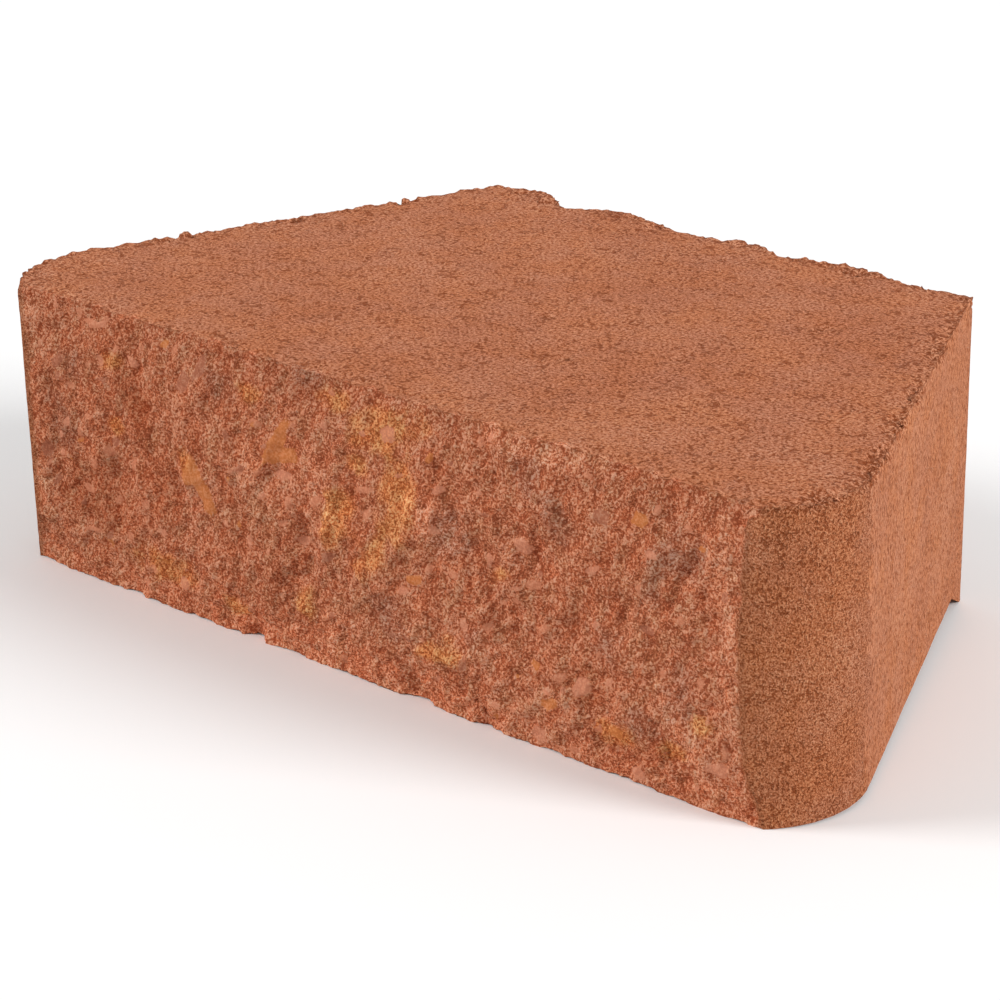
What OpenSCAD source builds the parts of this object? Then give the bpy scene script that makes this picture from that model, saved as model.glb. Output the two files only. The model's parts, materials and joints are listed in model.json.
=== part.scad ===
// Retaining wall block: one piece of dry-cast concrete.
//
// The two mould halves are cast face to face and split apart, so the front is
// a fracture surface between two rounded cast corners. The sides taper to the
// rear, and a wedge-shaped lip hangs below the rear of the lower bed and sets
// each course back from the one under it.
//
// The block is drawn on its lower bed, with X to the right as seen from the
// front, Y from the split plane to the rear and Z up. It is then pitched onto
// its lip, as it lies on a level floor, with the origin at the middle of the
// bottom of its bounding box.

/* [Body] */
// Widest width, across the two rounded corners
body_w = 298.5; // [240:0.5:360]
// Depth from the split plane to the rear wall
body_d = 164.5; // [140:0.5:220]
// Height from the lower bed to the upper bed
body_h = 89; // [60:0.5:150]
// Width of the rear wall
rear_w = 184; // [140:0.5:220]

/* [Cast corners] */
// Radius of the rounded corners
corner_r = 32; // [28:0.5:38]
// Distance of the corners' axes behind the split plane
corner_inset = 24.5; // [18:0.5:27]

/* [Setting lip] */
// Drop of the lip below the lower bed
lip_drop = 7.5; // [4:0.5:14]
// Depth of the lip where it leaves the bed
lip_root = 15; // [10:0.5:24]
// Depth of the flat along the lip's tip
lip_tip = 1.5; // [0.5:0.5:8]

/* [Split face] */
// Greatest swing of the fracture to each side of the face's mean surface
split_swing = 3.2; // [0.2:0.1:4]
// How far the face bellies out of the split plane between the two beds
split_belly = 2.2; // [0:0.1:3]
// Size of the fracture's facets
facet = 3.8; // [3.6:0.1:9]
// Share of the swing that is left along the straight upper and lower arrises
arris_swing = 0.22; // [0:0.01:1]
// How far the upper arris of the split face crumbles back
arris_wear = 1.4; // [0:0.1:3]
// Seed of the fracture
split_seed = 11; // [1:1:99]

/* [Rear wall] */
// How far the crumbs along the upper rear arris stand out or are broken away
crumb_reach = 4; // [0.5:0.5:6]
// Depth of the ragged band below the upper bed
crumb_band = 10; // [5:0.5:16]
// Seed of the crumbs
crumb_seed = 5; // [1:1:99]

/* [Hidden] */
$fn = 96;
spare = 6;                          // how far a cutter runs past the block
corner_x = body_w / 2 - corner_r;   // axes of the cast corners
blank_front = corner_inset - corner_r;
split_half = corner_x + sqrt(corner_r * corner_r - corner_inset * corner_inset);

// Tangent point of the straight side, seen from the rear corner
side_run = [corner_x - rear_w / 2, corner_inset - body_d];
side_angle = atan2(-side_run.y, -side_run.x) - acos(corner_r / norm(side_run));
side_start = [corner_x + corner_r * cos(side_angle), corner_inset + corner_r * sin(side_angle)];
side_slope = (rear_w / 2 - side_start.x) / (body_d - side_start.y);

// Pitch at which the block rests on its lower front arris and its lip
rest_pitch = atan(lip_drop / (body_d - lip_tip));

// Deterministic noise: a table of random values laid out as a repeating grid,
// read with smooth blending between its points
table_size = 997;
split_table = rands(-1, 1, table_size, split_seed);
crumb_table = rands(-1, 1, table_size, crumb_seed);
function cell(table, i, j) = table[((i * 31 + j * 57) % table_size + table_size) % table_size];
function ease(t) = let (c = max(0, min(1, t))) c * c * (3 - 2 * c);
function mix(a, b, t) = a + (b - a) * t;
function noise(table, u, v) =
    let (i = floor(u), j = floor(v), s = ease(u - i), t = ease(v - j))
    mix(
        mix(cell(table, i, j), cell(table, i + 1, j), s),
        mix(cell(table, i, j + 1), cell(table, i + 1, j + 1), s),
        t
    );

// Fracture: broad swells, then ridges that run steeply down to the right, then
// the bite of single stones
ridge_lean = 58;                    // slope of the ridges from the horizontal
swell_size = [78, 46];
ridge_size = [17, 64];
ridge_sharpness = 2.6;
stone_size = 9.5;
swell_share = 0.36;
ridge_share = 0.30;
stone_share = 0.36;
function across(x, z) = x * sin(ridge_lean) + z * cos(ridge_lean);
function along(x, z) = z * sin(ridge_lean) - x * cos(ridge_lean);
function fracture(x, z) =
    swell_share * noise(split_table, x / swell_size.x + 20, z / swell_size.y + 3)
    + ridge_share * (1 - ridge_sharpness * abs(noise(split_table, across(x, z) / ridge_size.x + 40,
                                         along(x, z) / ridge_size.y + 9)))
    + stone_share * noise(split_table, x / stone_size + 60, z / stone_size + 30);

// The splitting blades start the crack along both beds, so the fracture is
// straight there, and further in it bellies out and swings freely. At the foot
// of both ends it draws back, and the cast corners stand proud of it.
blade_reach = 17;
end_reach = 14;
end_draw = 1.4;
function from_bed(z) = ease(min(z, body_h - z) / blade_reach);
function swing(z) = split_swing * mix(arris_swing, 1, from_bed(z));
function end_step(x, z) =
    end_draw * ease((abs(x) - split_half + end_reach) / end_reach) * (1 - ease(z / blade_reach));

// Crumbled upper arris, and the chips broken out of the lower one, each as its
// place along the face, half width and depth
wear_reach = 5;
wear_change = 0.8;                  // how far the wear varies along the arris
chip_height = 1.6 * wear_reach;
chip_flat = 0.4;                    // share of a chip's half width at full depth
lower_chips = [[-95, 3, 1.2], [-44, 3.6, 3.2], [-28, 4, 1.4], [22, 3.8, 2.9], [47, 3, 1.6]];
function wear(x, z) =
    arris_wear * pow(1 - ease((body_h - z) / wear_reach), 2)
    * (1 + wear_change * noise(split_table, x / 6 + 11, 50));
function chips(x, z) =
    let (fade = 1 - ease(z / chip_height))
    max([for (c = lower_chips) c[2] * fade * (1 - ease(abs(x - c[0]) / c[1] - chip_flat))]);

// Y of the split face, negative in front of the split plane
function split_y(x, z) =
    -swing(z) * max(-1, min(1, fracture(x, z))) - split_belly * from_bed(z)
    + end_step(x, z) + wear(x, z) + chips(x, z);

// Facet corners of the split face, from below the lower bed to above the upper
face_columns = 2 * ceil((split_half + spare) / facet);
face_rows = ceil(body_h / facet) + 1;
column_step = 2 * (split_half + spare) / face_columns;
row_step = body_h / (face_rows - 1);
jitter = 0.28;                      // scatter of the corners, as a share of a facet
function scatter(i, j, k, low, high) =
    (i <= low || i >= high) ? 0 : jitter * cell(split_table, 5 * i + k, 7 * j + 3 * k);
function facet_corner(i, j) =
    let (
        x = (i + scatter(i, j, 1, 0, face_columns)) * column_step - split_half - spare,
        z = (j - 0.5 + scatter(j, i, 2, 1, face_rows - 1)) * row_step
    )
    [x, split_y(x, z), z];
face_points = [for (j = [0:face_rows], i = [0:face_columns]) facet_corner(i, j)];

// Ragged upper rear arris: lumps that stand out (positive) and bites broken
// away (negative), each as its place, half width and share of crumb_reach
crumbs = [[-77, 15, 1.05], [-57, 8, -1.6], [-39, 13, 0.75], [-12, 12, -0.8], [8, 9, 0.4],
          [24, 9, -0.9], [49, 20, 0.6], [84, 10, -0.1]];
crumb_levels = [0, 0.2, 0.45, 0.7, 0.88, 1];
crumb_columns = 58;
crumb_grit = 0.22;                  // share of crumb_reach in fine crumbs
crumb_drift = 0.12;                 // how far the crumbs shift from level to level
wall_wave = 0.02;                   // the cast wall below the crumbs is not quite flat
function crumb(x) =
    crumb_grit * noise(crumb_table, x / 5 + 30, 2)
    + [for (c = crumbs) c[2] * (1 - ease(abs(x - c[0]) / c[1]))] * [for (c = crumbs) 1];
function crumb_x(i) = (i / crumb_columns - 0.5) * (rear_w + 2 * spare);
function crumb_y(x, level) =
    let (drift = crumb_drift * level * noise(crumb_table, x / 6, 8 * level))
    body_d + crumb_reach * (ease(level) * crumb(x) + drift);
function crumb_z(level) =
    body_h - crumb_band * (1 - level) + (level == 1 ? spare / 4 : 0);
function wall_foot(i) =
    [crumb_x(i), body_d + wall_wave * cell(crumb_table, i, 3), -lip_drop - spare];
crumb_points = concat(
    [for (i = [0:crumb_columns]) wall_foot(i)],
    [for (level = crumb_levels, i = [0:crumb_columns])
        [crumb_x(i), crumb_y(crumb_x(i), level), crumb_z(level)]]
);

// A height field closed by a flat sheet at y = back. Its points come in rows
// of equal length, lowest row first, each row from left to right.
module relief(points, columns, rows, back) {
    row = columns + 1;
    front = len(points);
    left = points[0].x;
    right = points[columns].x;
    bottom = points[0].z;
    top = points[len(points) - 1].z;
    sheet = [[left, back, bottom], [right, back, bottom], [right, back, top], [left, back, top]];
    in_front = back < points[0].y;
    quads = [
        for (j = [0:rows - 1], i = [0:columns - 1])
            let (a = j * row + i, b = a + 1, c = a + row, d = c + 1)
                each (i + j) % 3 == 0 ? [[a, c, b], [b, c, d]] : [[a, c, d], [a, d, b]]
    ];
    skirts = [
        [for (i = [0:columns]) i, front + 1, front],
        [for (i = [columns:-1:0]) rows * row + i, front + 3, front + 2],
        [for (j = [rows:-1:0]) j * row, front, front + 3],
        [for (j = [0:rows]) j * row + columns, front + 2, front + 1],
        [front, front + 1, front + 2, front + 3]
    ];
    faces = concat(quads, skirts);
    polyhedron(
        points = concat(points, sheet),
        faces = in_front ? [for (f = faces) [for (k = [len(f) - 1:-1:0]) f[k]]] : faces
    );
}

// Plan of the blank before it is split and before its rear is trimmed
module plan() {
    rear_y = body_d + crumb_reach + spare / 2;
    rear_x = rear_w / 2 + side_slope * (rear_y - body_d);
    for (side = [-1, 1])
        translate([side * corner_x, corner_inset])
            circle(r = corner_r);
    polygon([
        [-corner_x, blank_front], [corner_x, blank_front], [corner_x, corner_inset],
        side_start, [rear_x, rear_y], [-rear_x, rear_y],
        [-side_start.x, side_start.y], [-corner_x, corner_inset]
    ]);
}

// Section of the block from front to rear, with the lip
module section() {
    front_y = blank_front - spare;
    rear_y = body_d + crumb_reach + spare;
    polygon([
        [front_y, 0], [body_d - lip_root, 0], [body_d - lip_tip, -lip_drop],
        [rear_y, -lip_drop], [rear_y, body_h], [front_y, body_h]
    ]);
}

module cast_blank() {
    intersection() {
        translate([0, 0, -lip_drop - spare])
            linear_extrude(height = body_h + lip_drop + 2 * spare)
                plan();
        rotate([90, 0, 90])
            linear_extrude(height = body_w + 2 * spare, center = true)
                section();
    }
}

// Furthest reach to the front and the rear once the block is pitched
function pitched_y(p) = p.y * cos(rest_pitch) - p.z * sin(rest_pitch);
function pitched_reach(points) = [
    for (p = points) if (p.z >= 0 && p.z <= body_h && abs(p.x) <= rear_w / 2) pitched_y(p)
];
front_reach = min(pitched_reach(face_points));
rear_reach = max(pitched_y([0, body_d, -lip_drop]), max(pitched_reach(crumb_points)));

module retaining_wall_block() {
    color([0.70, 0.42, 0.30])
        translate([0, -(front_reach + rear_reach) / 2, 0])
            rotate([rest_pitch, 0, 0])
                difference() {
                    cast_blank();
                    relief(face_points, face_columns, face_rows, blank_front - spare);
                    relief(crumb_points, crumb_columns, len(crumb_levels), body_d + 3 * spare);
                }
}

retaining_wall_block();
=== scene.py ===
# Retaining wall block: red dry-cast concrete, split from its twin in the mould.
import json
import math
import bpy
import numpy as np
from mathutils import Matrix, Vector, noise


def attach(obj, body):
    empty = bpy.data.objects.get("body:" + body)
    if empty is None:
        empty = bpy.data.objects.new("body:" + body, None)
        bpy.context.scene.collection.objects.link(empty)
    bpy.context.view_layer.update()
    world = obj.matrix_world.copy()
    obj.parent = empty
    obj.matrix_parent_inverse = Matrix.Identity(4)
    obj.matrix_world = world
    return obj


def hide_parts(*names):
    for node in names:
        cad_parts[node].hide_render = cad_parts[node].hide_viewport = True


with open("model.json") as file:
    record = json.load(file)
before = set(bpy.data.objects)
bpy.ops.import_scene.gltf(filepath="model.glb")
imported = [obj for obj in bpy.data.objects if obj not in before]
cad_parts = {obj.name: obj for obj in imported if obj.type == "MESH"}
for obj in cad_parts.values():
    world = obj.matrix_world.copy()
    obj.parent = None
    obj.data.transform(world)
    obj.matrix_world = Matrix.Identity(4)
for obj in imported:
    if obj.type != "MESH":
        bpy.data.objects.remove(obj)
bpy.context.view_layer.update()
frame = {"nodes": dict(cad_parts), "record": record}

# ---------------------------------------------------------------------------
# The block: one piece of dry-cast concrete, pigmented with iron oxide. Two
# blocks are cast face to face and split apart, so the front is a fracture
# full of sand and crushed stone, and every other face is cast in steel.
# ---------------------------------------------------------------------------

# Sizes in millimetres, on the block's own lower bed: x along the face, y from
# the split plane to the rear, z up from the bed. The corners' axes stand at
# corner_x and corner_y, and no part of the split face lies behind face_depth
body_w = 298.5
body_d = 164.5
body_h = 89.0
rear_w = 184.0
corner_r = 32.0
corner_x = body_w / 2 - corner_r
corner_y = 24.5
face_depth = 9.0
side_run = (corner_x - rear_w / 2, corner_y - body_d)
side_angle = math.atan2(-side_run[1], -side_run[0]) - math.acos(corner_r / math.hypot(*side_run))

# The block lies pitched onto its setting lip. The bed's slope and the split
# plane's place come from the record
bed = next(m for m in frame["record"]["mounts"] if m["name"] == "lower_bed")
pitch = math.atan2(bed["axis"][1], -bed["axis"][2])
split_line = bed["pos_m"][2] / math.tan(pitch) - bed["pos_m"][1]

bpy.ops.object.select_all(action="DESELECT")
blank = frame["nodes"]["retaining_wall_block"]
blank.select_set(True)
bpy.context.view_layer.objects.active = blank
bpy.ops.object.duplicate()
block = bpy.context.view_layer.objects.active
block.name = "red_split_block"
block.data.name = "red_split_block"

# Even faces about 2 mm wide over the whole block, for the relief to move
bpy.ops.object.mode_set(mode="EDIT")
bpy.ops.mesh.select_all(action="SELECT")
bpy.ops.mesh.remove_doubles(threshold=1e-6)
bpy.ops.object.mode_set(mode="OBJECT")
even = block.modifiers.new("even faces", "REMESH")
even.mode = "SHARP"
even.octree_depth = 8
even.scale = 0.59
even.use_remove_disconnected = False
bpy.ops.object.modifier_apply(modifier=even.name)


def levelled(values):
    """Places or normals of the pitched block, turned onto its own bed."""
    turned = values.copy()
    turned[:, 1] = values[:, 1] * math.cos(pitch) + values[:, 2] * math.sin(pitch)
    turned[:, 2] = values[:, 2] * math.cos(pitch) - values[:, 1] * math.sin(pitch)
    return turned


def read(items, name):
    """Places or normals of a mesh's vertices or faces, one row each."""
    values = np.empty(len(items) * 3)
    items.foreach_get(name, values)
    return values.reshape(-1, 3)


def on_block(places):
    """Places in millimetres on the block's own bed."""
    return levelled(places + np.array([0, split_line, 0])) * 1000


def ease(value, low, high):
    """A share that rises smoothly from 0 at low to 1 at high."""
    share = np.clip((value - low) / (high - low), 0, 1)
    return share * share * (3 - 2 * share)


def leaning(spot, x, z, half_long, half_wide, lean):
    """Shares of a leaning oval's half sizes, along and across it on the split face."""
    cos_lean, sin_lean = math.cos(math.radians(lean)), math.sin(math.radians(lean))
    along = ((spot[:, 0] - x) * cos_lean + (spot[:, 2] - z) * sin_lean) / half_long
    across = ((spot[:, 2] - z) * cos_lean - (spot[:, 0] - x) * sin_lean) / half_wide
    return along, across


def inside_corner(spot):
    """How far a point lies inside the rounded cast corners."""
    past = np.maximum(np.abs(spot[:, 0]) - corner_x, 0)
    ahead = np.minimum(spot[:, 1] - corner_y, 0)
    return np.where(past > 0, corner_r - np.hypot(past, ahead), corner_r)


def inside_walls(spot):
    """How far a point lies inside the cast corners, sides and rear wall."""
    side = corner_r - (
        (np.abs(spot[:, 0]) - corner_x) * math.cos(side_angle)
        + (spot[:, 1] - corner_y) * math.sin(side_angle)
    )
    tangent_y = corner_y + corner_r * math.sin(side_angle)
    flank = np.where(spot[:, 1] < tangent_y, inside_corner(spot), side)
    return np.maximum(np.minimum(flank, body_d - spot[:, 1]), 0)


def behind_split(spot):
    """How far a point of the upper bed lies behind the split face's arris."""
    column_w = 4
    half_row = 38
    far_off = 99
    columns = np.clip(np.round(spot[:, 0] / column_w) + half_row, 0, 2 * half_row).astype(int)
    arris = np.full(2 * half_row + 1, face_depth)
    top = spot[:, 2] > body_h - 3
    np.minimum.at(arris, columns[top], spot[top, 1])
    return np.where(top, spot[:, 1] - arris[columns], far_off)


# The split face and the crumbling arrises carry finer faces than the rest
centre = on_block(read(block.data.polygons, "center"))
facing = levelled(read(block.data.polygons, "normal"))
broken = (centre[:, 1] < face_depth) & (facing[:, 1] < 0.2) & (inside_corner(centre) > -0.1)
rim_reach = 6
arris_reach = 5
rim = np.hypot(body_h - centre[:, 2], inside_walls(centre)) < rim_reach
rim |= behind_split(centre) < arris_reach
for polygon, chosen in zip(block.data.polygons, broken | rim):
    polygon.select = bool(chosen)
bpy.ops.object.mode_set(mode="EDIT")
bpy.ops.mesh.select_mode(type="FACE")
bpy.ops.mesh.subdivide(number_cuts=1)
bpy.ops.object.mode_set(mode="OBJECT")

# Where each finish lies on the block, as shares from 0 to 1. The noises fray
# their borders in patches of 13, 5 and 2.2 mm
spot = on_block(read(block.data.vertices, "co"))
turn = levelled(read(block.data.vertices, "normal"))
below_bed = np.maximum(body_h - spot[:, 2], 0)
patches = np.array([noise.noise(Vector(place) / 13) for place in spot])
ragged = np.array([noise.noise(Vector(place) / 5) for place in spot])
frayed = np.array([noise.noise(Vector(place) / 2.2) for place in spot])

# The split face ends at the cast corners and at the upper bed. Near that bed
# the right cast corner reaches further round to the front
split = ease(inside_corner(spot), 0.3, 1.5) * (spot[:, 1] < face_depth) * ease(-turn[:, 1], 0.1, 0.5)
split *= 1 - ease(turn[:, 2], 0.45, 0.85) * ease(spot[:, 2], 80, body_h - 1)
arris_x = corner_x + math.sqrt(corner_r ** 2 - corner_y ** 2)
further_round = 3.1
round_to = arris_x - further_round * ease(spot[:, 2], 64, 90)
split *= 1 - ease(spot[:, 0] - round_to, -0.6, 0.6) * ease(spot[:, 2], 62, 70)

# The beds, the cast corners (the left one is cast smoother and carries less of the
# corners' brown tone and painted shade), the crumbled upper arris of the split face, its foot and its
# frayed border
level = ease(np.abs(turn[:, 2]), 0.6, 0.9) * (1 - split)
corner = (1 - ease(spot[:, 1] + 5 * ragged, 8, 42)) * np.where(spot[:, 0] > 0, 1, 0.4)
split_rim = (1 - ease(below_bed, 0.5, 4.5)) * (spot[:, 1] < 5) * (inside_corner(spot) > 1)
foot = 1 - ease(np.maximum(spot[:, 2], 0), 0.5, 5.5)
torn = 1 - ease(behind_split(spot) + 2.5 * ragged + 2.5 * frayed, 0.6, 1.8)
torn *= inside_corner(spot) > 1

# The upper cast arris crumbles all along, and worst in these places: x, y and
# reach. The upper bed has a few small dents, given in the same way
spalls = [
    (109, 121, 8), (124, 90, 7), (133, 67, 9), (141, 50, 6), (146, 34, 8), (146, 14, 7),
    (-134, 64, 6), (-118, 98, 5), (-104, 134, 6), (-64, 158, 9), (-22, 162, 6), (52, 160, 7),
]
dents = [(74, 115, 3.6), (6, 76, 2.4), (57, 70, 2.4), (32, 52, 2.0), (-20, 97, 2.2), (96, 60, 2.2)]
spalled = ease(patches, -0.1, 0.5) * 0.6
worst = np.zeros(len(spot))
for x, y, reach in spalls:
    away = np.hypot(spot[:, 0] - x, spot[:, 1] - y)
    worst = np.maximum(worst, 1 - ease(away, 0.3 * reach, 1.3 * reach))
spalled = np.maximum(spalled, worst)
cast_rim = np.hypot(2 * below_bed, inside_walls(spot))
cast_rim = (1 - ease(cast_rim + 2 * ragged, 1.5, 4.5 + 4.5 * spalled)) * (0.5 + 0.5 * spalled)
for x, y, reach in dents:
    away = np.hypot(spot[:, 0] - x, spot[:, 1] - y)
    dent = 1 - ease(away, 0.4 * reach, 1.4 * reach)
    cast_rim = np.maximum(cast_rim, dent * ease(spot[:, 2], body_h - 2, body_h - 1))
crumbs = np.clip(cast_rim * (1 - split_rim) + split_rim, 0, 1)

# Stains of pigment and dust on the split face: x, z, half length, half height,
# lean in degrees, and how the colour under them changes
ochre = np.array([1.15, 1.17, 0.84])
tan = np.array([1.14, 1.22, 1.26])
charcoal = np.array([0.84, 0.90, 0.98])
rust = np.array([0.92, 0.84, 0.78])
umber = np.array([0.89, 0.86, 0.84])
dusty = np.array([1.09, 1.12, 1.15])
stains = [
    (13, 79, 13.0, 7.0, 15, ochre), (18, 60, 7.0, 12.0, -12, ochre), (8, 41, 4.5, 8.0, -30, ochre),
    (2, 67, 4.0, 3.0, 0, ochre), (-5, 49, 5.5, 9.0, 8, ochre), (-6, 83, 6.0, 3.5, 0, ochre),
    (-20, 18, 3.5, 5.5, 0, ochre), (-40, 78, 5.5, 3.0, 10, ochre), (-50, 9, 4.0, 3.5, 0, ochre),
    (-80, 13, 12.0, 5.0, 0, ochre), (-97, 74, 4.5, 3.0, 20, ochre), (-96, 54, 3.5, 2.5, 0, ochre),
    (-66, 52, 3.5, 3.0, 0, ochre), (53, 48, 6.0, 2.0, 25, ochre), (92, 13, 6.5, 4.0, 0, ochre),
    (121, 25, 2.8, 2.4, 0, ochre), (112, 14, 3.5, 2.5, 0, ochre), (33, 19, 8.0, 4.5, 20, ochre),
    (98, 43, 5.0, 12.0, -30, tan), (-5, 49, 4.5, 7.0, 8, tan), (-135, 70, 4.5, 16.0, 0, tan),
    (-37, 50, 7.0, 12.0, 15, tan), (-136, 68, 4.0, 14.0, 0, tan), (-134, 31, 5.0, 8.0, 0, tan),
    (117, 18, 4.0, 17.0, 42, tan), (131, 45, 2.6, 34.0, 4, tan), (62, 86, 22.0, 3.5, 0, tan),
    (126, 72, 3.5, 12.0, -12, tan), (-50, 9, 4.5, 4.0, 0, tan), (22, 20, 4.0, 9.0, -10, tan),
    (-135, 30, 4.0, 7.0, 0, tan), (30, 58, 8.0, 8.0, 0, tan), (-10, 15, 7.0, 7.0, 0, tan),
    (-53, 77, 6.0, 5.0, -25, charcoal), (-18, 87, 6.0, 3.0, 0, charcoal),
    (36, 55, 6.5, 8.0, 0, charcoal), (12, 25, 6.5, 6.5, 0, charcoal), (62, 79, 5.0, 5.0, 0, charcoal),
    (72, 69, 6.0, 6.0, -20, charcoal), (90, 37, 8.0, 6.0, 0, charcoal),
    (78, 41, 5.0, 4.0, 0, umber),
    (107, 66, 4.0, 13.0, -20, charcoal), (117, 70, 4.5, 7.0, -15, charcoal),
    (101, 18, 6.0, 5.0, 0, charcoal), (114, 31, 4.0, 9.0, -25, charcoal),
    (-122, 50, 7.0, 10.0, 0, charcoal), (-116, 69, 5.0, 5.0, 0, charcoal),
    (43, 27, 4.5, 4.0, 0, charcoal),
    (-104, 28, 17.0, 15.0, 0, rust), (-77, 40, 8.0, 12.0, 0, rust), (-84, 60, 5.0, 9.0, -12, rust),
    (86, 24, 10.0, 8.0, 0, rust), (100, 10, 14.0, 6.0, 0, rust), (-88, 68, 7.0, 8.0, 0, rust),
    (-94, 66, 11.0, 8.0, 30, umber), (-120, 48, 7.5, 10.0, 0, umber), (-110, 27, 10.0, 9.0, 0, umber),
    (-42, 45, 10.0, 9.0, 0, umber), (-30, 56, 6.0, 6.0, 0, umber), (-24, 84, 12.0, 4.5, 0, umber),
    (-13, 56, 7.0, 12.0, 0, dusty), (30, 58, 10.0, 9.0, 0, dusty), (46, 23, 11.0, 11.0, 0, dusty),
    (-65, 28, 7.0, 14.0, 0, dusty), (-10, 15, 8.0, 8.0, 0, dusty), (61, 58, 10.0, 8.0, 0, dusty),
    (62, 86, 18.0, 3.0, 0, dusty), (90, 24, 6.0, 5.0, 0, dusty), (-30, 56, 6.0, 6.0, 0, dusty),
]
stain = np.ones((len(spot), 3))
for x, z, half_x, half_z, lean, change in stains:
    along, across = leaning(spot, x, z, half_x, half_z, lean)
    share = (1 - ease(np.hypot(along, across) + 0.8 * ragged, 0.5, 1.3))[:, None]
    stain *= 1 + share * (change - 1)

# Painted light pales the foot of the split face, where the floor shades it,
# most of all at its middle, and the band below the upper bed is a little darker
# Painted light at the foot, against the shade near the floor
foot_painted_light = (0.13 + 0.15 * (1 - ease(np.abs(spot[:, 0] + 8), 40, 75))) * (1 - ease(spot[:, 2], 4, 16))
stain *= (1 + foot_painted_light - 0.07 * ease(spot[:, 2], 70, 86))[:, None]

# Crushed stones with flat broken faces, which the split has laid open, some
# placed and the rest scattered: x, z, half length, half width, lean in degrees
# and colour. Each outline is an irregular polygon of five sides
pale_stone = (0.66, 0.250, 0.140)
pink_stone = (0.71, 0.285, 0.170)
gold_stone = (0.66, 0.220, 0.064)
dull_stone = (0.43, 0.155, 0.090)
stones = [
    (-60, 44, 9.5, 2.6, -68, gold_stone), (-29, 65.5, 8.5, 2.1, 58, gold_stone),
    (23, 38, 3.0, 1.9, 15, gold_stone), (-28, 61.5, 6.0, 2.4, 18, gold_stone),
    (-64.5, 46.5, 3.0, 2.6, 0, gold_stone), (-27, 56, 3.6, 1.5, 15, pink_stone),
    (-105, 84, 4.2, 1.3, 5, pale_stone), (-14, 52, 2.9, 1.5, 40, pale_stone),
    (-100, 45, 2.2, 1.8, 0, pale_stone), (-107, 40, 1.6, 1.9, 0, pale_stone),
    (-88, 76, 2.6, 1.1, -30, pink_stone), (-121, 69, 2.8, 1.6, 45, dull_stone),
    (-66, 75, 2.0, 3.6, -15, dull_stone), (-59, 81, 1.6, 4.4, -20, dull_stone),
    (-8, 37, 2.2, 1.4, 30, dull_stone), (65, 48, 2.4, 1.4, 5, pale_stone),
    (61, 58, 2.8, 2.0, -30, pink_stone), (69, 37, 1.9, 1.2, 0, pale_stone),
    (81, 23, 3.0, 2.6, 10, pink_stone), (65, 25, 1.7, 1.5, 0, gold_stone),
    (70, 15, 3.0, 1.4, 20, gold_stone), (101, 76, 2.5, 2.0, 20, gold_stone),
    (88, 74, 2.4, 2.4, 0, dull_stone), (127, 14, 2.8, 2.0, -15, pink_stone),
    (65, 4, 2.4, 2.6, 0, pink_stone), (92, 13, 2.6, 1.5, 0, gold_stone),
    (14, 78, 2.6, 2.3, 0, pink_stone), (31, 55, 1.6, 1.3, 0, pink_stone),
    (5, 60, 3.2, 1.0, 15, pale_stone), (-72, 10, 2.0, 1.8, 0, pink_stone),
    (-128, 39, 1.8, 2.4, 0, dull_stone), (-110, 17, 5.0, 1.0, 8, pale_stone),
    (50, 32, 1.8, 1.2, 40, pale_stone), (-143, 3, 2.2, 2.8, 0, pink_stone),
    (99, 3, 2.2, 1.8, 0, pink_stone), (38, 44, 1.6, 1.2, 0, pale_stone),
]
stone_kinds = (pale_stone, pink_stone, dull_stone, gold_stone)
kind_shares = (0.4, 0.32, 0.2, 0.08)
scattered = 260
chance = np.random.default_rng(7)
for _ in range(scattered):
    size = 0.5 + 0.8 * chance.random() ** 2
    tone = stone_kinds[chance.choice(len(stone_kinds), p=kind_shares)]
    x, z = chance.uniform(-137, 137), chance.uniform(2, 87)
    stones.append((x, z, size * chance.uniform(1, 2), size, chance.uniform(-20, 110), tone))

# How far each point lies from the middle of its nearest stone, where 1 is the
# stone's own edge, and that stone's colour
stone_reach = np.full(len(spot), 9.0)
stone_tone = np.ones((len(spot), 3))
largest_stone = 14
for x, z, half_long, half_wide, lean, tone in stones:
    away = np.maximum(np.abs(spot[:, 0] - x), np.abs(spot[:, 2] - z))
    near = np.flatnonzero((away < largest_stone) & (split > 0))
    along, across = leaning(spot[near], x, z, half_long, half_wide, lean)
    corners = np.cumsum(chance.uniform(0.7, 1.5, 5))
    reach = np.zeros(len(near))
    for angle in corners / corners[-1] * 2 * math.pi:
        side = chance.uniform(0.75, 1.1)
        reach = np.maximum(reach, (along * math.cos(angle) + across * math.sin(angle)) / side)
    nearer = reach < stone_reach[near]
    stone_reach[near[nearer]] = reach[nearer]
    stone_tone[near[nearer]] = tone
laid_open = 1 - ease(stone_reach, 0.7, 1.2)

# Ridges and grooves that the fracture runs along: x, z, half length, half
# width, lean in degrees and how far they stand out
ridges = [
    (119, 17, 19, 3.2, -50, 1.7), (111, 13, 15, 3.0, -52, -1.6), (130, 52, 30, 1.8, 92, 1.1),
    (123, 70, 15, 2.6, 66, 1.3), (116, 66, 15, 2.6, 66, -1.4), (104, 62, 20, 3.0, 64, 1.2),
    (95, 45, 18, 3.5, 62, -1.3), (20, 54, 27, 4.5, 68, 1.5), (34, 52, 20, 4.5, 74, -1.6),
    (52, 42, 24, 4.0, 70, 1.0), (75, 50, 22, 4.5, 66, 1.1), (66, 60, 18, 3.5, 66, -1.1),
    (-84, 58, 22, 4.5, 104, 1.4), (-98, 34, 20, 6.0, 84, -1.5), (-58, 66, 18, 4.0, 110, 1.2),
    (-70, 40, 16, 4.0, 96, -1.2), (-36, 58, 20, 4.0, 60, 1.3), (-22, 30, 22, 5.0, 72, -1.2),
    (-8, 48, 26, 3.5, 82, 1.2), (-126, 44, 24, 4.5, 86, -1.3), (-138, 50, 28, 3.0, 90, 1.0),
]
ridged = np.zeros(len(spot))
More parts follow.
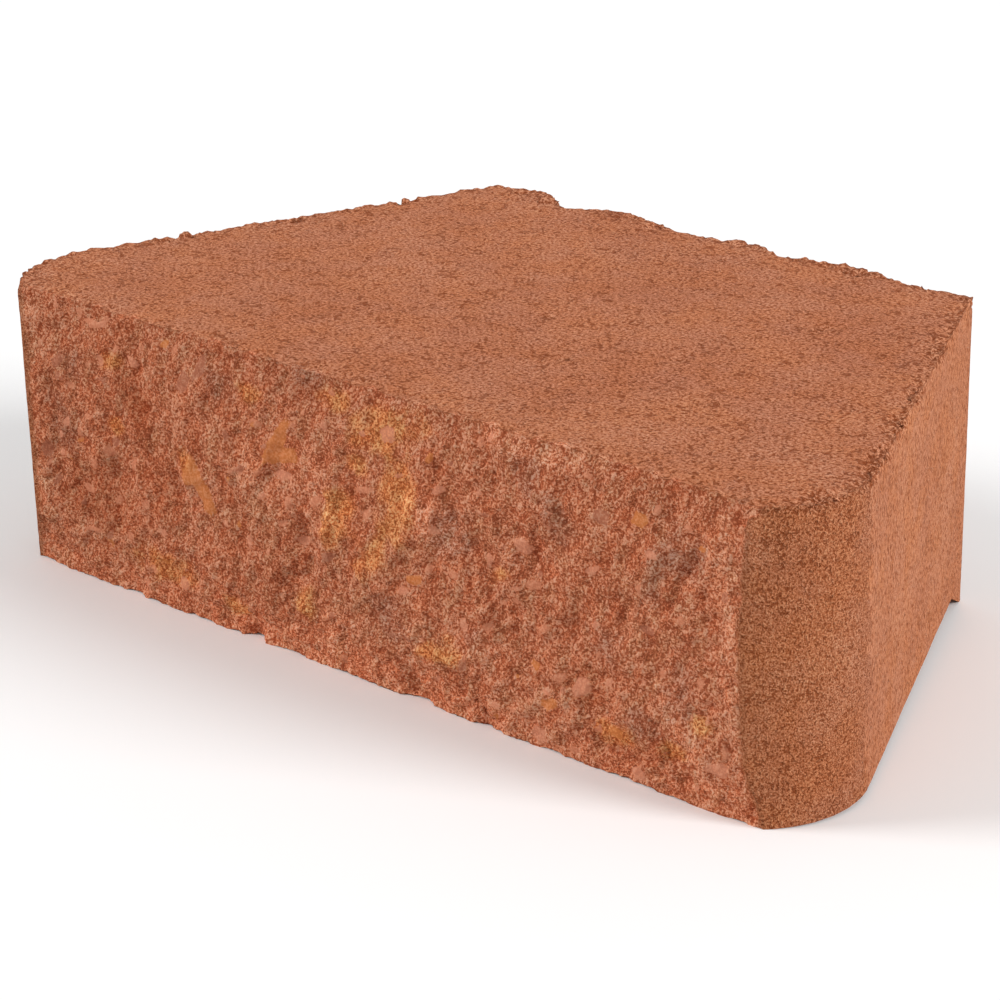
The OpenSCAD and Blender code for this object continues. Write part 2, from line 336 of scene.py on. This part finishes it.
for x, z, half_long, half_wide, lean, height in ridges:
    along, across = leaning(spot, x, z, half_long, half_wide, lean)
    ridged += (1 - ease(np.hypot(along, across + 0.8 * patches), 0.1, 1.1)) * height

# The right cast corner's round, carried on to its own arris, with the split
# face sloping back from it
cast_past = np.clip(np.maximum(spot[:, 0], round_to) - corner_x, 0, arris_x - corner_x)
proud = np.sqrt(corner_r ** 2 - cast_past ** 2) - corner_y
proud *= (1 - ease(round_to - spot[:, 0], 0, 11)) * (1 - ease(spot[:, 1], 2, 10))

moved = read(block.data.vertices, "co")
moved[:, 1] -= ridged * split * (1 - foot) * (1 - split_rim) / 1000
moved[:, 1] -= proud / 1000
block.data.vertices.foreach_set("co", moved.ravel())

# Chunks and sand of the fracture, crumbs along the arrises, the bites of the
# worst spalls and the faint waves of the cast faces
groups = {
    "broken": split * (1 - 0.45 * foot) * (1 - 0.6 * split_rim) * (1 - 0.5 * laid_open),
    "crumbs": crumbs * (1 - 0.5 * split_rim),
    "spalls": cast_rim * worst,
    "cast": (1 - split) * (1 - crumbs),
}
for name, share in groups.items():
    group = block.vertex_groups.new(name=name)
    for index, weight in enumerate(share):
        if weight > 0.01:
            group.add([index], float(weight), "REPLACE")

# Group, pattern, basis or weights, size and height in millimetres, and the
# level at which nothing moves
relief = [
    ("broken", "CLOUDS", "ORIGINAL_PERLIN", 9.0, 3.2, 0.5),
    ("broken", "VORONOI", (-1.0, 1.0), 6.5, 1.9, 0.3),
    ("broken", "CLOUDS", "VORONOI_F1", 2.9, -2.2, 0.45),
    ("broken", "CLOUDS", "ORIGINAL_PERLIN", 1.9, 1.6, 0.5),
    ("crumbs", "CLOUDS", "ORIGINAL_PERLIN", 6.0, 2.2, 0.52),
    ("crumbs", "CLOUDS", "VORONOI_F1", 3.4, -3.4, 0.38),
    ("crumbs", "CLOUDS", "ORIGINAL_PERLIN", 2.0, 1.2, 0.50),
    ("spalls", "CLOUDS", "VORONOI_F1", 5.2, -3.0, 0.36),
    ("cast", "CLOUDS", "ORIGINAL_PERLIN", 16.0, 0.30, 0.5),
    ("cast", "CLOUDS", "ORIGINAL_PERLIN", 2.6, 0.20, 0.5),
]
for group, pattern, basis, size, height, middle in relief:
    texture = bpy.data.textures.new(group, pattern)
    texture.noise_scale = size / 1000
    if pattern == "VORONOI":
        texture.weight_1, texture.weight_2 = basis
    else:
        texture.noise_basis = basis
        texture.noise_depth = 1
    step = block.modifiers.new(group, "DISPLACE")
    step.texture = texture
    step.texture_coords = "LOCAL"
    step.direction = "NORMAL"
    step.vertex_group = group
    step.strength = height / 1000
    step.mid_level = middle
    bpy.ops.object.modifier_apply(modifier=step.name)
settled = read(block.data.vertices, "co")
settled[:, 2] = np.maximum(settled[:, 2], 0)
block.data.vertices.foreach_set("co", settled.ravel())
bpy.ops.object.shade_smooth_by_angle(angle=math.radians(70))

# Hollows of the split face, as depth behind its own surface when that is
# smoothed over 1 mm squares with a bell. The material paints shade into them
# and paints light onto the ridges between them
grid_w, grid_h = 301, 101
grid_below = 5
bell_reach = 9
deepest = 2
place_now = on_block(read(block.data.vertices, "co"))
on_face = split > 0.3
columns = np.clip(np.round(place_now[:, 0] + grid_w // 2), 0, grid_w - 1).astype(int)
rows = np.clip(np.round(place_now[:, 2] + grid_below), 0, grid_h - 1).astype(int)
depths = np.zeros((grid_w, grid_h))
counts = np.zeros((grid_w, grid_h))
np.add.at(depths, (columns[on_face], rows[on_face]), place_now[on_face, 1])
np.add.at(counts, (columns[on_face], rows[on_face]), 1)
bell = np.exp(-np.arange(-bell_reach, bell_reach + 1) ** 2 / 24.0)
for axis in (0, 1):
    depths = np.apply_along_axis(np.convolve, axis, depths, bell, "same")
    counts = np.apply_along_axis(np.convolve, axis, counts, bell, "same")
smoothed = depths / np.maximum(counts, 1e-6)
hollow = np.clip(0.5 + (place_now[:, 1] - smoothed[columns, rows]) / (2 * deepest), 0, 1)
hollow = np.where(on_face, hollow, 0.5)

# What the material reads from the mesh
shares = {
    "split": np.maximum(split, torn),
    "level": level * (1 - torn),
    "corner": corner,
    "hollow": hollow,
    "crumbs": cast_rim * (1 - split_rim),
    "near_rim": 1 - ease(inside_walls(spot) + 4 * ragged, 1, 14),
    "stone_reach": stone_reach,
}
for name, share in shares.items():
    layer = block.data.attributes.new(name + "_share", "FLOAT", "POINT")
    layer.data.foreach_set("value", share.astype(np.float32))
for name, colour in (("stain", stain), ("stone", stone_tone)):
    layer = block.data.attributes.new(name + "_tone", "FLOAT_COLOR", "POINT")
    layer.data.foreach_set("color", np.column_stack([colour, np.ones(len(spot))]).ravel())

concrete = bpy.data.materials.new("red_concrete")
concrete.use_nodes = True
concrete.node_tree.nodes.clear()


class Wire:
    """A socket of a material or of the sky, on which sums add Math nodes."""

    tree = concrete.node_tree

    def __init__(self, socket):
        self.socket = socket

    @staticmethod
    def node(kind, settings, inputs, output=0):
        """Adds a node. Its stops are a ramp's, and inputs are values or wires."""
        new = Wire.tree.nodes.new(kind)
        for name, value in settings.items():
            if name == "stops":
                stops = new.color_ramp.elements
                stops[0].position, stops[0].color = value[0]
                stops[1].position, stops[1].color = value[-1]
                for position, colour in value[1:-1]:
                    stops.new(position).color = colour
            else:
                setattr(new, name, value)
        for key, value in inputs.items():
            if isinstance(value, Wire):
                Wire.tree.links.new(value.socket, new.inputs[key])
            else:
                new.inputs[key].default_value = value
        return Wire(new.outputs[output]) if new.outputs else None

    def beside(self, output):
        """Another output of the same node."""
        return Wire(self.socket.node.outputs[output])

    @staticmethod
    def math(operation, *values):
        return Wire.node("ShaderNodeMath", {"operation": operation}, dict(enumerate(values)))

    def __add__(self, other):
        return Wire.math("ADD", self, other)

    def __sub__(self, other):
        return Wire.math("SUBTRACT", self, other)

    def __rsub__(self, other):
        return Wire.math("SUBTRACT", other, self)

    def __mul__(self, other):
        return Wire.math("MULTIPLY", self, other)

    def __gt__(self, other):
        return Wire.math("GREATER_THAN", self, other)

    __radd__ = __add__
    __rmul__ = __mul__


def between(value, low, high):
    """A share that goes smoothly from 0 at low to 1 at high."""
    return Wire.node("ShaderNodeMapRange", {"interpolation_type": "SMOOTHSTEP"},
                     {"Value": value, "From Min": low, "From Max": high})


def tint(share, under, over, way="MIX"):
    """A colour with a share of another over it. A Mix node's colours are inputs 6 and 7."""
    under, over = [c if isinstance(c, Wire) else (*c, 1) for c in (under, over)]
    return Wire.node("ShaderNodeMix", {"data_type": "RGBA", "blend_type": way},
                     {0: share, 6: under, 7: over}, 2)


def dyed(colour, change):
    """A colour multiplied by a change of colour."""
    return tint(1.0, colour, change, "MULTIPLY")


def cloud(place, size, detail, rough=0.5):
    """Soft noise whose lumps are about size millimetres wide."""
    return Wire.node("ShaderNodeTexNoise", {},
                     {"Vector": place, "Scale": 1 / size, "Detail": detail, "Roughness": rough})


def tones(value, stops):
    """The colours that a value runs through."""
    return Wire.node("ShaderNodeValToRGB", {"stops": [(at, (*c, 1)) for at, c in stops]}, {0: value})


def from_mesh(name, output):
    """An attribute of the mesh, as its Fac for a share or its Color for a colour."""
    return Wire.node("ShaderNodeAttribute", {"attribute_name": name}, {}, output)


# Millimetres on the block's own bed. The grain is finest on the cast corners,
# and on the cast sides the stripped mould draws it out upwards
stored = Wire.node("ShaderNodeTexCoord", {}, {}, "Object")
place = Wire.node("ShaderNodeMapping", {"vector_type": "TEXTURE"},
                  {"Vector": stored, "Location": (0, -split_line, 0),
                   "Rotation": (pitch, 0, 0), "Scale": (0.001, 0.001, 0.001)})
on_split = from_mesh("split_share", "Fac")
on_bed = from_mesh("level_share", "Fac")
on_corner = from_mesh("corner_share", "Fac")
on_rim = from_mesh("crumbs_share", "Fac")
patch = cloud(place, 7, 2)
open_grain = on_split + on_bed + on_corner * 3 + (patch - 0.5) * 1.2
fineness = (1.35, 1.35, 0.8)
for there, finer in ((open_grain > 0.5, 1.8), (on_bed > 0.5, 1.1), (on_split > 0.5, 1.4)):
    fineness = Wire.node("ShaderNodeMix", {"data_type": "VECTOR"},
                         {0: there, 4: fineness, 5: (finer, finer, finer)}, 1)
drawn = Wire.node("ShaderNodeVectorMath", {"operation": "MULTIPLY"}, {0: place, 1: fineness})
grain = (cloud(drawn, 1, 2.5, 0.75) - 0.5) * 1.35 + 0.5
pits = cloud(drawn, 1.9, 1)
mottle = cloud(place, 38, 2)

# Cast faces: paste with fine grain and ragged little pores filled with painted shade, more even on
# the sides, and browner round the corners, partly the corners' own tone and partly painted shade
pore_shade = (0.260, 0.062, 0.019)
paste_deep = (0.370, 0.112, 0.046)
paste = (0.500, 0.172, 0.080)
paste_pale = (0.590, 0.222, 0.114)
sand_pale = (0.780, 0.350, 0.200)
round_brown_and_shade = (0.985, 0.940, 0.845)
bed_change = (0.985, 0.960, 0.955)
cast_tone = tones(grain, [(0.33, pore_shade), (0.41, paste_deep), (0.46, paste), (0.57, paste_pale),
                          (0.68, sand_pale)])
even_tone = tones(grain, [(0.33, pore_shade), (0.41, (0.420, 0.140, 0.062)), (0.45, (0.525, 0.193, 0.090)),
                          (0.60, (0.620, 0.250, 0.130))])
on_side = 1 - between(open_grain, 0.3, 0.7)
on_round = on_corner * (1 - on_bed)
on_near_rim = from_mesh("near_rim_share", "Fac")
cast_tone = tint(0.3 + on_side * 0.6 - on_round * 0.3, cast_tone, even_tone)
pit_level = pits + (patch - 0.5) * 0.3 - on_near_rim * on_bed * 0.05 - on_round * 0.02
pit = between(pit_level, 0.37, 0.32)
# Painted shade fills the pits, which the bump also sinks
cast_tone = tint(pit * (0.7 - on_side * 0.3), cast_tone, pore_shade)
mottled = tones(mottle, [(0.35, (0.40, 0.30, 0.25)), (0.65, (1, 1, 1))])
cast_tone = tint(0.12, cast_tone, mottled, "OVERLAY")
cast_drift = tones(cloud(place, 14, 3, 0.6), [(0.38, (1.01, 0.97, 0.90)), (0.62, (0.99, 1.02, 1.09))])
cast_tone = dyed(cast_tone, cast_drift)
# Browner round the corners near the split: partly the corners' own tone, partly painted shade, fading
# back along them
cast_tone = tint(on_round, cast_tone, dyed(cast_tone, round_brown_and_shade))
cast_tone = tint(on_bed, cast_tone, dyed(cast_tone, bed_change))
cast_height = grain * 0.9 - pit * 0.5

# Split face: a red matrix that tears in leaning flakes, with sand and crushed
# grains in it and dark gaps between, whose darkest tone is painted shade
gap_shade = (0.400, 0.096, 0.040)
matrix_deep = (0.530, 0.134, 0.056)
matrix = (0.700, 0.205, 0.092)
sand = (0.815, 0.292, 0.148)
sand_bright = (0.980, 0.470, 0.295)
leant = Wire.node("ShaderNodeMapping", {"vector_type": "TEXTURE"},
                  {"Vector": place, "Rotation": (0, math.radians(20), 0), "Scale": (0.8, 1, 1.7)})
flakes = cloud(leant, 6, 3, 0.6)
cell = Wire.node("ShaderNodeTexVoronoi", {}, {"Vector": leant, "Scale": 1 / 1.2})
cell_tone = Wire.node("ShaderNodeSeparateColor", {}, {0: cell.beside("Color")})
chip = between(cell_tone, 0.86, 0.90) * between(cell, 0.75, 0.45)
dark_chip = between(cell_tone, 0.12, 0.08)
painted_hollow_shade = from_mesh("hollow_share", "Fac")
lightness = (grain - 0.5) * 1.28 + (flakes - 0.5) * 0.25 + (cell_tone - 0.5) * 0.1
lightness = lightness + (mottle - 0.5) * 0.15 + 0.5
# Painted shade darkens the hollows and painted light pales the ridges between them
lightness = lightness + chip * 0.1 - dark_chip * 0.04 + (0.5 - painted_hollow_shade) * 0.06
# The darkest stop, the gaps between the grains, is painted shade
split_tone = tones(lightness, [(0.34, gap_shade), (0.42, matrix_deep), (0.49, matrix), (0.57, sand),
                               (0.70, sand_bright)])
split_tone = dyed(split_tone, from_mesh("stain_tone", "Color"))
split_drift = tones(cloud(leant, 5, 2), [(0.36, (1.03, 0.940, 0.87)), (0.5, (1, 1, 1)),
                                         (0.64, (0.96, 1.035, 1.02))])
split_tone = dyed(split_tone, split_drift)
stone = between(from_mesh("stone_reach_share", "Fac") + (grain - 0.5) * 0.5, 1.1, 0.95)
split_tone = tint(stone * 0.7, split_tone, from_mesh("stone_tone", "Color"))
split_height = grain * 0.9 + flakes * 1.2 - cell * 0.25

# Crumbled arrises show open, pitted grain, with painted shade in the pits between the crumbs
rim_tone = tones(grain, [(0.38, pore_shade), (0.45, paste_deep), (0.51, paste), (0.60, sand_pale)])
rim_tone = tint(between(pits, 0.48, 0.42) * 0.85, rim_tone, pore_shade)
tone = tint(on_rim * 0.85, cast_tone, rim_tone)
tone = tint(on_split, tone, split_tone)
height = cast_height + (split_height - cast_height) * on_split
surface = Wire.node("ShaderNodeBump", {},
                    {"Strength": 1 - stone * on_split * 0.7, "Distance": 0.001, "Height": height})
shader = Wire.node("ShaderNodeBsdfPrincipled", {},
                   {"Base Color": tone, "Roughness": 0.97 - grain * 0.1, "Normal": surface,
                    "Specular IOR Level": 0.12})
Wire.node("ShaderNodeOutputMaterial", {}, {"Surface": shader})
block.data.materials.clear()
block.data.materials.append(concrete)

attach(block, "root")
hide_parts("retaining_wall_block")

# ---------------------------------------------------------------------------
# The floor: a plain pale ground, whose colour turns white to the camera and
# keeps the block's soft shadow.
# ---------------------------------------------------------------------------
bpy.ops.object.select_all(action="DESELECT")
bpy.ops.mesh.primitive_circle_add(vertices=96, radius=5, fill_type="NGON", location=(0, 0, 0))
floor = bpy.context.object
floor.name = "floor"
ground = bpy.data.materials.new("pale_floor")
ground.use_nodes = True
ground.node_tree.nodes.clear()
Wire.tree = ground.node_tree
lit_colour = (0.62, 0.60, 0.58)
seen_colour = (1, 1, 1)
to_camera = Wire.node("ShaderNodeLightPath", {}, {}, "Is Camera Ray")
ground_shader = Wire.node("ShaderNodeBsdfPrincipled", {},
                          {"Base Color": tint(to_camera, lit_colour, seen_colour), "Roughness": 0.9,
                           "Specular IOR Level": 0.1})
Wire.node("ShaderNodeOutputMaterial", {}, {"Surface": ground_shader})
floor.data.materials.append(ground)

# ---------------------------------------------------------------------------
# The studio: an even sky at half strength, which the camera sees as white, a
# broad key light from the right and a weaker fill from the left of the face.
# ---------------------------------------------------------------------------
world = bpy.data.worlds.new("studio")
bpy.context.scene.world = world
world.use_nodes = True
world.node_tree.nodes.clear()
Wire.tree = world.node_tree
lit_strength = 0.5
seen_strength = 1
to_camera = Wire.node("ShaderNodeLightPath", {}, {}, "Is Camera Ray")
strength = to_camera * (seen_strength - lit_strength) + lit_strength
sky = Wire.node("ShaderNodeBackground", {}, {"Color": (1, 1, 1, 1), "Strength": strength})
Wire.node("ShaderNodeOutputWorld", {}, {"Surface": sky})

for name, towards, share, width in (
    ("key", (0.85, 0.24, 0.39), 0.76, 25),
    ("fill", (-0.62, -0.58, 0.53), 0.45, 20),
):
    bpy.ops.object.light_add(type="SUN", location=Vector(towards) * 2)
    lamp = bpy.context.object
    lamp.name = name
    lamp.rotation_euler = Vector(towards).to_track_quat("Z", "Y").to_euler()
    lamp.data.energy = math.pi * share
    lamp.data.angle = math.radians(width)

# The camera stands 0.9 m off, above the block and to the right of its face
eye = Vector((0.54334, -0.64901, 0.35193))
look_at = Vector((-0.0069, -0.0128, 0.0343))
roll = math.radians(0.665)
bpy.ops.object.camera_add(location=eye)
camera = bpy.context.object
camera.rotation_euler = (look_at - eye).to_track_quat("-Z", "Y").to_euler()
camera.rotation_euler.rotate_axis("Z", roll)
camera.data.sensor_width = 36
camera.data.lens = 109.72
bpy.context.scene.camera = camera
bpy.context.scene.view_settings.view_transform = "Standard"
